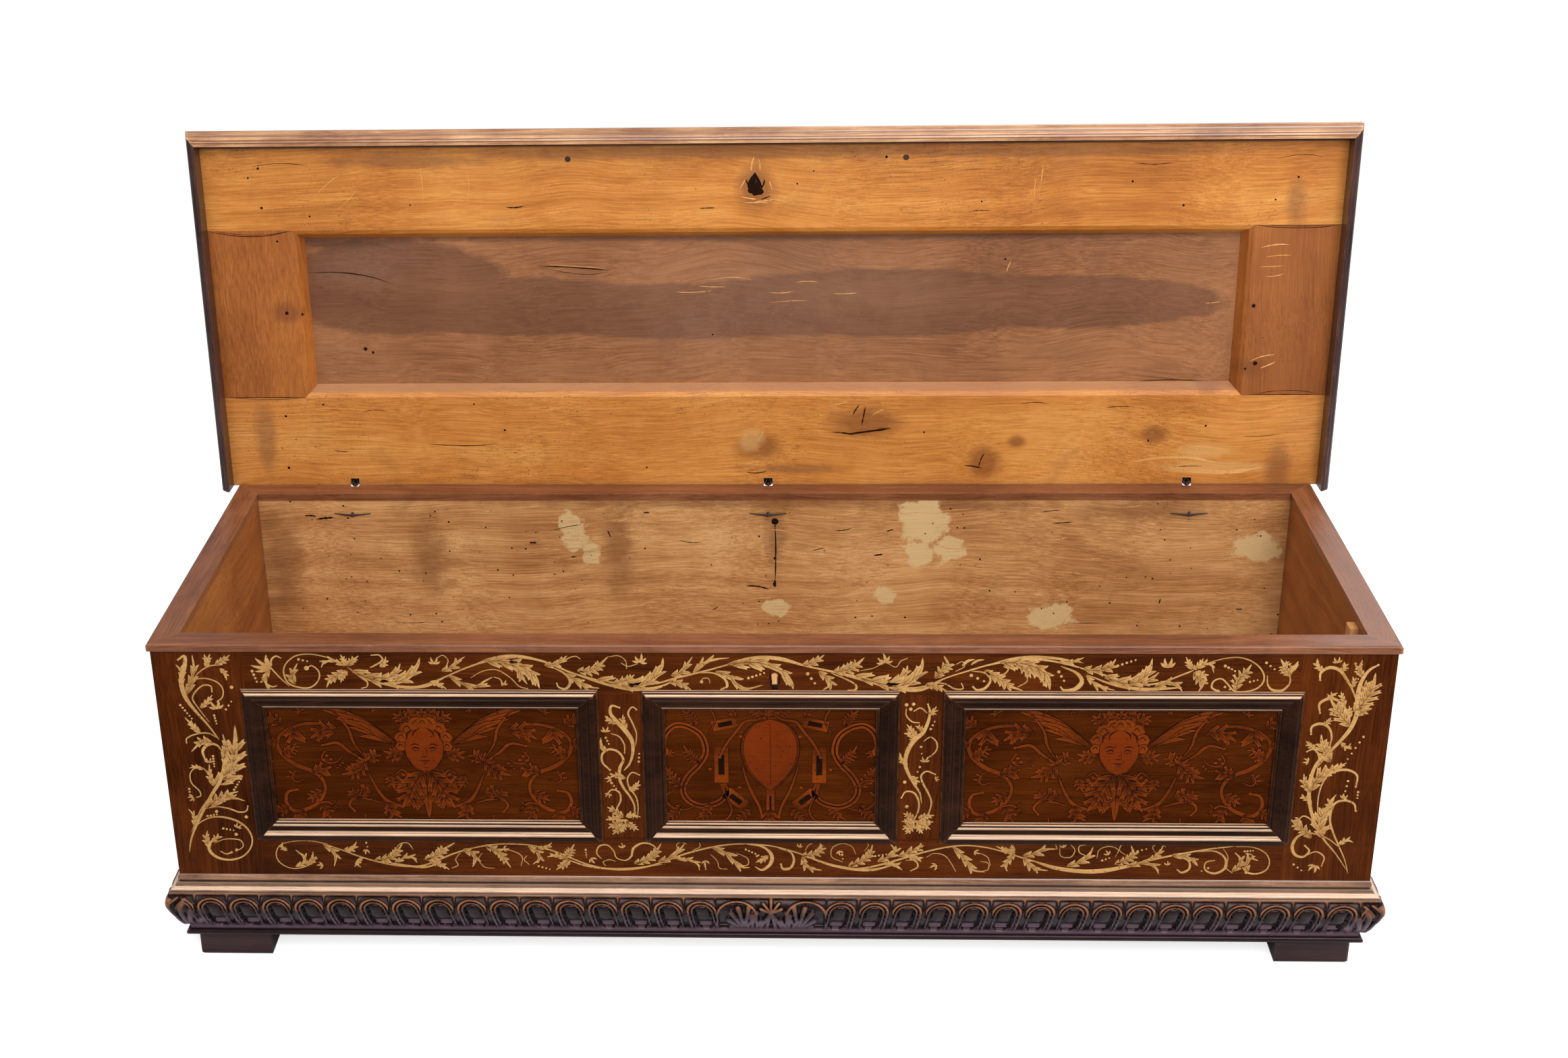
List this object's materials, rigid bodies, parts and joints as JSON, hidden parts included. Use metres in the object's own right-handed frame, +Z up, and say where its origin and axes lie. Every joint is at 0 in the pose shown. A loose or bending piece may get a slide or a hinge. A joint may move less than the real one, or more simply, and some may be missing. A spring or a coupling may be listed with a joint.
{
  "type": "storage chest",
  "caption": "Long wooden storage chest with a hinged lid, an inlaid panelled front, a carved base and block feet.",
  "frame": {"origin": "on the floor, under the middle of the box around the chest with its lid open", "axes": "+X along the length to the right of someone who faces the front, +Y to the back, +Z up"},
  "size_m": [1.805, 0.6393, 1.1223],
  "materials": {
    "inlaid_wood": "oiled dark walnut with fine pale inlay, worn semi-gloss",
    "marquetry_wood": "oiled walnut burr with marquetry, semi-gloss",
    "moulding_wood": "polished dark walnut, ridges rubbed bright",
    "board_wood": "bare seasoned tan wood, dry and matt",
    "rim_wood": "waxed reddish brown walnut, edges rubbed",
    "ogee_wood": "waxed walnut, rubbed bright",
    "carved_wood": "dark walnut with bronze-brown highlights, satin",
    "foot_wood": "dark stained walnut, matt",
    "lid_wood": "honey-coloured walnut, dry satin",
    "lid_panel_wood": "greyish brown walnut, dry satin",
    "lid_moulding_wood": "waxed walnut, edges rubbed bright",
    "peg_wood": "dark end-grain wood, matt",
    "pale_wood": "pale bare wood, matt",
    "iron": "dark forged iron, lightly rusted"
  },
  "bodies": {
    "chest": {"front_left_stile": "inlaid_wood", "front_right_stile": "inlaid_wood", "front_top_rail": "inlaid_wood", "front_bottom_rail": "inlaid_wood", "front_left_muntin": "inlaid_wood", "front_right_muntin": "inlaid_wood", "left_panel": "marquetry_wood", "centre_panel": "marquetry_wood", "right_panel": "marquetry_wood", "left_panel_frame": "moulding_wood", "centre_panel_frame": "moulding_wood", "right_panel_frame": "moulding_wood", "left_side": "board_wood", "right_side": "board_wood", "back_board": "board_wood", "bottom_board_1": "board_wood", "bottom_board_2": "board_wood", "bottom_board_3": "board_wood", "rim_front": "rim_wood", "rim_back": "rim_wood", "rim_left": "rim_wood", "rim_right": "rim_wood", "base_ogee_front": "ogee_wood", "base_ogee_left": "ogee_wood", "base_ogee_right": "ogee_wood", "plinth_front": "carved_wood", "plinth_left": "carved_wood", "plinth_right": "carved_wood", "foot_strip_front": "carved_wood", "foot_strip_left": "carved_wood", "foot_strip_right": "carved_wood", "foot_front_left": "foot_wood", "foot_back_left": "foot_wood", "foot_front_right": "foot_wood", "foot_back_right": "foot_wood", "plinth_back": "foot_wood", "foot_strip_back": "foot_wood", "keyhole_plug": "pale_wood", "till_cleat": "pale_wood", "back_nails": "iron", "lock_case": "iron", "chest_hinge_pin_left": "iron", "chest_hinge_pin_middle": "iron", "chest_hinge_pin_right": "iron"},
    "lid": {"lid_front_rail": "lid_wood", "lid_back_rail": "lid_wood", "lid_left_stile": "lid_wood", "lid_right_stile": "lid_wood", "lid_panel": "lid_panel_wood", "lid_moulding_front": "lid_moulding_wood", "lid_moulding_left": "lid_moulding_wood", "lid_moulding_right": "lid_moulding_wood", "lid_pegs": "peg_wood", "lid_hinge_pin_left": "iron", "lid_hinge_pin_middle": "iron", "lid_hinge_pin_right": "iron", "lid_catch_stub": "iron"}
  },
  "joints": [
    {"name": "lid_hinge", "type": "hinge", "parent": "chest", "child": "lid", "pos_m": [0, 0.26855, 0.533], "axis": [1, 0, 0], "range_deg": [0, 91.74]}
  ]
}
